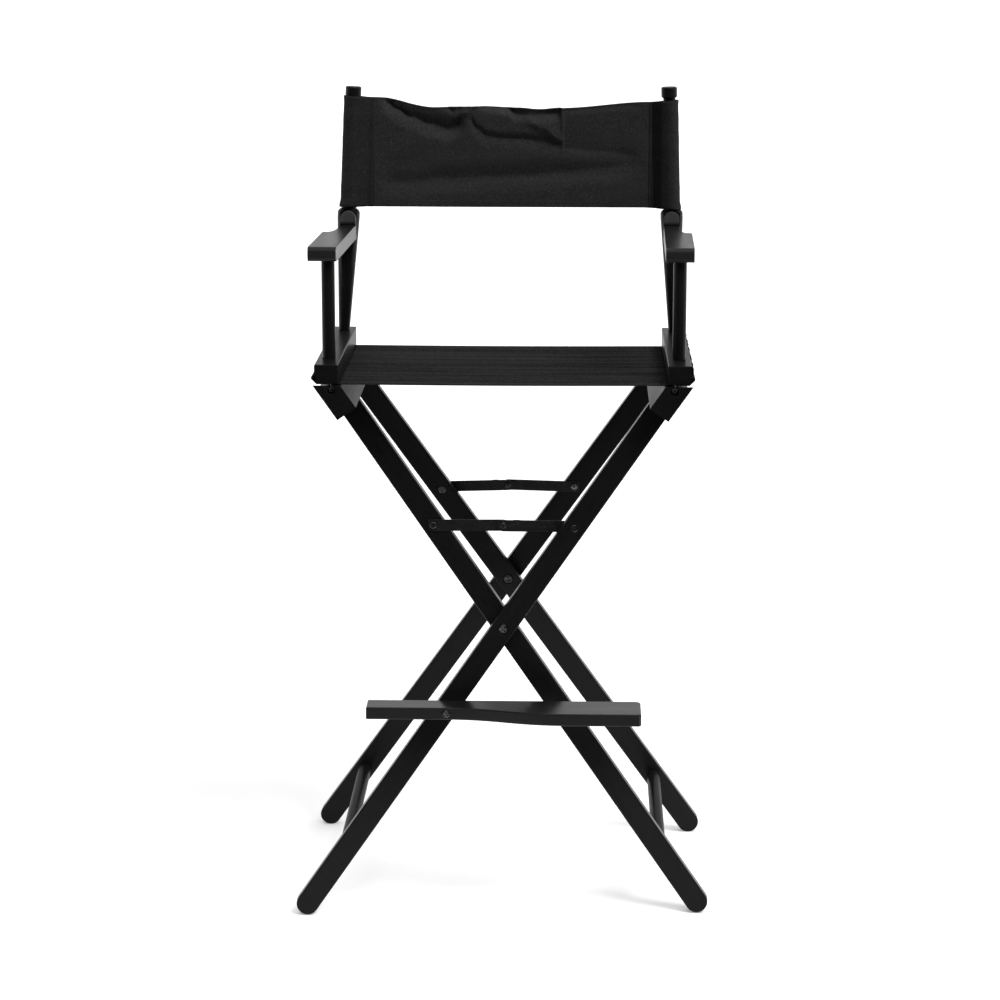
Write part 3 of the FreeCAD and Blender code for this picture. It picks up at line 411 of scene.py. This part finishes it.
# ---- back sling ----
def post_x(side, z):
    return POST_X[side] - SIGN[side] * (z - SHOULDER_Z) * math.tan(math.radians(POST_LEAN[side]))


def seam_x(side):
    """The seams are upright, though the posts lean."""
    return post_x(side, SEAM_Z) - SIGN[side] * SLEEVE_SEAM[side]


SEAM_LEFT = seam_x("left")
SLING_WIDTH = seam_x("right") - SEAM_LEFT

# height of the top edge: it hangs from the two sleeves, lowest left of the middle and by the crease
TOP_EDGE = [(-0.245, 1.1175), (-0.193, 1.1150), (-0.106, 1.1003), (-0.047, 1.1018), (0.015, 1.0995),
            (0.046, 1.0972), (0.074, 1.0995), (0.206, 1.1090), (0.250, 1.1120)]
BOTTOM_EDGE = [(-0.245, 0.0), (-0.04, -0.6 * MM), (0.19, -0.6 * MM), (0.245, -2.6 * MM)]
CREASE_X = 0.0765

# lines along which the sling is creased, in millimetres: their points (x, height), how far they stand out to
# the front, how far the slope reaches above and below them, how softly they turn, how slowly each end fades
CREASES = (
    (((-183, 1110), (-161, 1098), (-140, 1086), (-112, 1076), (-86, 1069),
      (-67, 1076)), -11.0, (31, 20), 2.0, (14, 12)),
    (((-175, 1107), (-158, 1096), (-142, 1086)), -1.8, (7, 6), 1.0, (8, 12)),
    (((-154, 1111), (-105, 1105), (-92, 1103), (-79, 1096)), -4.5, (11, 8), 1.5, (40, 6)),
    (((-79, 1085), (-61, 1094), (-42, 1105)), 3.6, (12, 12), 1.2, (8, 8)),
    (((-44, 1108), (-22, 1104), (-1, 1099), (11, 1090), (33, 1088),
      (54, 1090), (76, 1091)), -8.5, (22, 12), 1.5, (14, 3)),
    (((-54, 1081), (-44, 1069), (-30, 1059), (-8, 1056), (20, 1055),
      (47, 1052), (77, 1048)), -4.2, (10, 20), 1.2, (8, 2)),
    (((22, 1086), (49, 1072), (76, 1053)), 3.4, (22, 12), 1.5, (18, 2)),
    (((79, 1043), (131, 1038), (193, 1032)), -3.2, (36, 16), 2.0, (3, 60)),
    (((-211, 992), (-148, 993), (-92, 998), (-36, 1001), (20, 1002),
      (75, 1007), (131, 1012), (194, 1021)), -4.6, (24, 22), 4.0, (70, 80)),
    (((-217, 1022), (-176, 1018), (-113, 1023)), -2.0, (24, 24), 5.0, (40, 60)),
    (((-190, 1112), (-106, 1096), (-47, 1098), (46, 1094), (190, 1104)),
     -1.4, (6, 9), 1.0, (10, 20)),
)


def fold_depth(x, z):
    """How far the sling stands out to the front at a place, in metres: creases, then the pressed fold."""
    across, height, total = x / MM, z / MM, 0.0
    for points, out, (above, below), soft, (fade_in, fade_out) in CREASES:
        inside = min((across - points[0][0]) / fade_in + 0.5, (points[-1][0] - across) / fade_out + 0.5)
        if inside <= 0:
            continue
        rise = height - through(points, across)
        away = (math.hypot(rise, soft) - soft) / (above if rise > 0 else below)
        total += out * smooth_step(inside) * max(0.0, 1 - away) ** 1.7
    off = (x - CREASE_X) / (3 * MM)
    pressed = 1.8 * smooth_step((z - 1.040) / 0.01) * math.exp(-off * off) * (1 if off > 0 else -0.6)
    return (total + pressed) * MM


def sling_point(u, v):
    """The web lies in the posts' plane, a little slack, and its folds stand out to the front or back."""
    x = SEAM_LEFT + SLING_WIDTH * u
    low = BACK_BOTTOM + through(BOTTOM_EDGE, x)
    z = low + (through(TOP_EDGE, x) - low) * v
    flat_share = 0.08                           # the folds fade out this far from each seam
    depth = fold_depth(x, z) * smooth_step(min(u, 1 - u) / flat_share)
    slack = 3 * MM * math.sin(math.pi * u) * (0.3 + 0.7 * v)
    return Vector((x, POST_Y + slack - depth, z))


duck = canvas("canvas_back", "X", "Z", ((6, 30, 60), 0.017, 0.0225), (90, 0, 0), 0.08)
PAINTED_SHADE_BAND = (0.2055, 0.2235)        # X range beside the right post, where the sleeve is painted darker: painted shade where the cloth turns away from the light
# the sleeves' cloth is a darker copy of the back's: painted shade
duck_sleeve = canvas("canvas_sleeves_painted_shade", "X", "Z", ((6, 30, 60), 0.012, 0.0165), (90, 0, 0), 0.06, PAINTED_SHADE_BAND)
# the seat's cloth is a darker copy of the back's: painted shade to darken its top, which faces the light
duck_seat = canvas("canvas_seat_painted_shade", "X", "Y", ((3.5, 110, 110), 0.004, 0.0175), (0, 0, 0), 0.0)
sewing = thread()

back_web = cloth("back_sling_web", 260, 110, sling_point, duck)
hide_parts("back_canvas")


def sleeve_profile(t, seam):
    """Plan of a sleeve about its post: flat from the seam until its layers part, round the post, and back."""
    r = POST_R + 0.35 * MM + CLOTH / 2
    lean = math.asin(r / SLEEVE_REACH)          # where the straight runs touch the round one
    flat, straight, turn = seam - SLEEVE_REACH, math.sqrt(SLEEVE_REACH ** 2 - r * r), math.pi + 2 * lean
    half = flat + straight + turn * r / 2
    s = 2 * t * half
    back = 1 if s > half else -1
    s = min(s, 2 * half - s)
    touch = Vector((math.sin(lean) * r, math.cos(lean) * r))
    if s < flat:
        x, y = seam - s, 0.0
    elif s < flat + straight:
        x, y = Vector((SLEEVE_REACH, 0)).lerp(touch, (s - flat) / straight)
    else:
        a = math.pi / 2 - lean + (s - flat - straight) / r
        x, y = math.cos(a) * r, math.sin(a) * r
    return Vector((x, back * y))


def sleeve_point(side):
    """In the sleeve the cloth stands off its post a little, more towards the hems."""
    sign = SIGN[side]

    def place(t, v):
        z_near = BACK_BOTTOM + SLEEVE_TALL * v
        seam = abs(post_x(side, z_near) - seam_x(side))
        plan = sleeve_profile(t, seam)
        x_mid = post_x(side, z_near) - sign * plan.x
        low = BACK_BOTTOM + through(BOTTOM_EDGE, x_mid)
        z = low + (through(TOP_EDGE, x_mid) - low) * v
        ripple = 0.15 * MM * math.sin(z * 190 + t * 5) + 0.15 * MM * math.sin(z * 61 + t * 11)
        around = math.sin(math.pi * t) ** 2
        flare = 1.3 * MM * smooth_step((0.07 - v) / 0.05) + 0.5 * MM * smooth_step((v - 0.95) / 0.04)
        out = (max(0.0, ripple) + flare) * around
        away = plan.normalized() * out
        layer = 1 if t > 0.5 else -1
        shift = 0.55 * CLOTH * layer * (1 - smooth_step((0.5 - abs(t - 0.5)) / 0.25))
        x = post_x(side, z_near) - sign * (plan.x + away.x)
        return Vector((x, POST_Y + plan.y + away.y + shift, z))
    return place


sleeves = {}
for side in SIGN:
    sleeves[side] = cloth("back_sleeve_" + side, 90, 60, sleeve_point(side), duck_sleeve)
    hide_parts("back_canvas")


def seam_row(side, outward):
    """An upright row of stitches on a sleeve's front. outward is its distance from the seam."""
    def path(t):
        x = seam_x(side) + SIGN[side] * outward
        low, high = BACK_BOTTOM + through(BOTTOM_EDGE, x), through(TOP_EDGE, x)
        return Vector((x, POST_Y - 1.05 * CLOTH, low + 2 * MM + t * (high - low - 4 * MM)))
    return path, (0, -1, 0)


SEAM_ROWS = (0.9 * MM, 5.6 * MM)        # from the seam towards the post
sleeve_sewing = {}
for side in SIGN:
    rows = [seam_row(side, outward) for outward in SEAM_ROWS]
    sleeve_sewing[side] = stitches("sleeve_stitches_" + side, rows, sewing)


def level_row(v, face):
    """A row of stitches along a hem. face is -1 on the front and 1 on the back."""
    def path(t):
        return sling_point(0.006 + 0.988 * t, v) + Vector((0, face * CLOTH * 0.55, 0))
    return path, (0, face, 0)


def crease_row(t):
    """The row of stitches down the pressed fold."""
    z = 1.045 + 0.052 * t
    u = (CREASE_X - 1.0 * MM - SEAM_LEFT) / SLING_WIDTH
    v = (z - BACK_BOTTOM) / (through(TOP_EDGE, CREASE_X) - BACK_BOTTOM)
    return sling_point(u, v) + Vector((0, -CLOTH * 0.55, 0))


HEM_SHARE = HEM / SLING_TALL
web_rows = [level_row(v, face) for v in (HEM_SHARE, 1 - HEM_SHARE) for face in (-1, 1)]
web_rows.append((crease_row, (0, -1, 0)))
back_sewing = stitches("back_sling_stitches", web_rows, sewing)

# ---- seat sling ----
SEAT_TOP = 0.74965
SEAT_FRONT, SEAT_BACK = MID_Y - 0.167, MID_Y + 0.165
SEAT_DEEP = SEAT_BACK - SEAT_FRONT
BEAD_X, BEAD_Z, BEAD_R = 258.2 * MM, 757.2 * MM, 2.3 * MM       # the dowel in each edge of the canvas
UNDER, BEVEL = 0.45, 0.15       # the shares of an edge's mesh under its rail and on the rail's bevel


def seat_point(u, v):
    """The seat between the rails: nearly flat, with a slight hollow and soft ribs across."""
    x = -RAIL_IN + 2 * RAIL_IN * u
    y = SEAT_FRONT + SEAT_DEEP * v
    hollow = 1.6 * MM * math.sin(math.pi * u) * (0.55 + 0.45 * math.sin(math.pi * v))
    rib = 0.22 * MM * math.sin(y * 310) * math.sin(math.pi * u) ** 0.5
    return Vector((x, y, SEAT_TOP - CLOTH / 2 - hollow + rib))


seat_web = cloth("seat_sling_web", 120, 90, seat_point, duck_seat)
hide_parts("seat_canvas")


def seat_edge_point(side):
    """Under the rail, out past its bevel, then up and round the dowel into its groove."""
    sign = SIGN[side]
    under_z = SEAT_TOP - CLOTH / 2
    r = BEAD_R + CLOTH / 2 + 0.25 * MM
    bend_x = RAIL_OUT - 3.0 * MM

    def place(t, v):
        y = SEAT_FRONT + SEAT_DEEP * v
        if t < UNDER:
            x, z = RAIL_IN + (bend_x - RAIL_IN) * t / UNDER, under_z
        elif t < UNDER + BEVEL:
            k = (t - UNDER) / BEVEL
            start, end = Vector((bend_x, under_z)), Vector((BEAD_X + r * 0.9, BEAD_Z - r * 0.45))
            x, z = start.lerp(end, k)
        else:
            a = -0.46 + (t - UNDER - BEVEL) / (1 - UNDER - BEVEL) * 4.6     # radians round the dowel
            x, z = BEAD_X + r * math.cos(a), BEAD_Z + r * math.sin(a)
        return Vector((sign * x, y, z))
    return place


edges = {}
for side in SIGN:
    edges[side] = cloth("seat_edge_" + side, 60, 60, seat_edge_point(side), duck_seat, CLOTH * 0.8)
    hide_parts("seat_canvas")


def seat_flap_point(t, v):
    """The raw edge above the right-hand dowel, lying in scallops against the rail's outer side."""
    y = SEAT_FRONT + SEAT_DEEP * v
    lift = (13 + 1.5 * math.sin(y * 95) + 1.0 * math.sin(y * 230 + 1)) * MM
    scallop = (0.7 + 0.9 * math.sin(y * 120) ** 2) * MM
    return Vector((RAIL_OUT + 0.9 * MM + scallop * t, y, BEAD_Z + 1.5 * MM + lift * t))


seat_flap = cloth("seat_flap_right", 14, 120, seat_flap_point, duck_seat, CLOTH * 0.6)
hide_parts("seat_canvas")


def seat_row(y, face):
    """A row of stitches from rail to rail. face is 1 on top and -1 underneath."""
    def path(t):
        base = seat_point(0.002 + 0.996 * t, (y - SEAT_FRONT) / SEAT_DEEP)
        return base + Vector((0, 0, face * CLOTH * 0.55))
    return path, (0, 0, face)


seat_rows = [seat_row(y, face) for y in (SEAT_FRONT + HEM, SEAT_BACK - HEM) for face in (1, -1)]
seat_sewing = stitches("seat_sling_stitches", seat_rows, sewing)

# ---- what each piece rides on ----
for piece in (seat_web, seat_sewing):
    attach(piece, "left_side")
    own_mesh(piece)
for piece in (back_web, back_sewing):
    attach(piece, "left_side")
    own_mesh(piece)
for side in SIGN:
    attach(sleeves[side], side + "_side")
    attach(sleeve_sewing[side], side + "_side")
    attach(edges[side], side + "_side")
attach(seat_flap, "right_side")


# ---- floor, light and camera ----
def floor():
    """A pale floor that ends a little in front of the chair, so that its fronts reflect the dark room."""
    look = Look("pale_floor", roughness=0.75, specular=0.2)
    cloud = look.noise(look.mapped((0.8, 0.8, 0.8)), detail=2)
    look.set(Emission_Color=grey(1.0), Emission_Strength=0.22)
    look.done(Base_Color=look.mixed(cloud, grey(0.84), grey(0.88)))
    size, front = 60, -1.15
    plane = new_piece("floor", [(-size, front, 0), (size, front, 0), (size, size, 0), (-size, size, 0)],
                      [(0, 1, 2, 3)], look.material, smooth=False)


def world():
    """A white studio: bright behind and at the sides, dim where the camera stands. Seen directly, it is
    white all round."""
    sky = bpy.data.worlds.new("studio")
    bpy.context.scene.world = sky
    sky.use_nodes = True
    nodes, links = sky.node_tree.nodes, sky.node_tree.links
    coordinates = nodes.new("ShaderNodeTexCoord")
    split = nodes.new("ShaderNodeSeparateXYZ")
    links.new(coordinates.outputs["Generated"], split.inputs[0])
    ramp = nodes.new("ShaderNodeMapRange")
    ramp.interpolation_type = "SMOOTHSTEP"
    for socket, value in zip(ramp.inputs[1:5], (-0.7, 0.35, 0.02, 1.0)):
        socket.default_value = value
    links.new(split.outputs["Y"], ramp.inputs[0])
    seen = nodes.new("ShaderNodeMath")
    seen.operation = "MAXIMUM"
    links.new(ramp.outputs[0], seen.inputs[0])
    links.new(nodes.new("ShaderNodeLightPath").outputs["Is Camera Ray"], seen.inputs[1])
    links.new(seen.outputs[0], nodes["Background"].inputs["Strength"])
    nodes["Background"].inputs["Color"].default_value = (1, 1, 1, 1)


def far_light(name, towards, strength, spread):
    """A soft light a long way off. spread is its apparent size in degrees."""
    light = bpy.data.lights.new(name, "SUN")
    light.energy, light.angle = strength, math.radians(spread)
    lamp = bpy.data.objects.new(name, light)
    lamp.rotation_euler = Vector(towards).to_track_quat("Z", "Y").to_euler()
    bpy.context.scene.collection.objects.link(lamp)


def camera():
    """Nearly square on, from a little above: pitch and yaw in radians."""
    pitch, yaw, focal = 0.2122, -0.0270, 2.964
    lens = bpy.data.cameras.new("camera")
    lens.sensor_width = 36.0
    lens.lens = focal * lens.sensor_width
    lens.clip_end = 200
    view = bpy.data.objects.new("camera", lens)
    view.location = (0.1036, MID_Y - 4.1453, 1.4458)
    view.rotation_euler = Euler((math.pi / 2 - pitch, 0, -yaw))
    bpy.context.scene.collection.objects.link(view)
    bpy.context.scene.camera = view


floor()
world()
far_light("key", (0.72, -0.6, 1.2), 2.5, 26)
far_light("front", (0.0, -0.62, 1.0), 0.8, 40)
camera()
bpy.context.scene.view_settings.view_transform = "Standard"
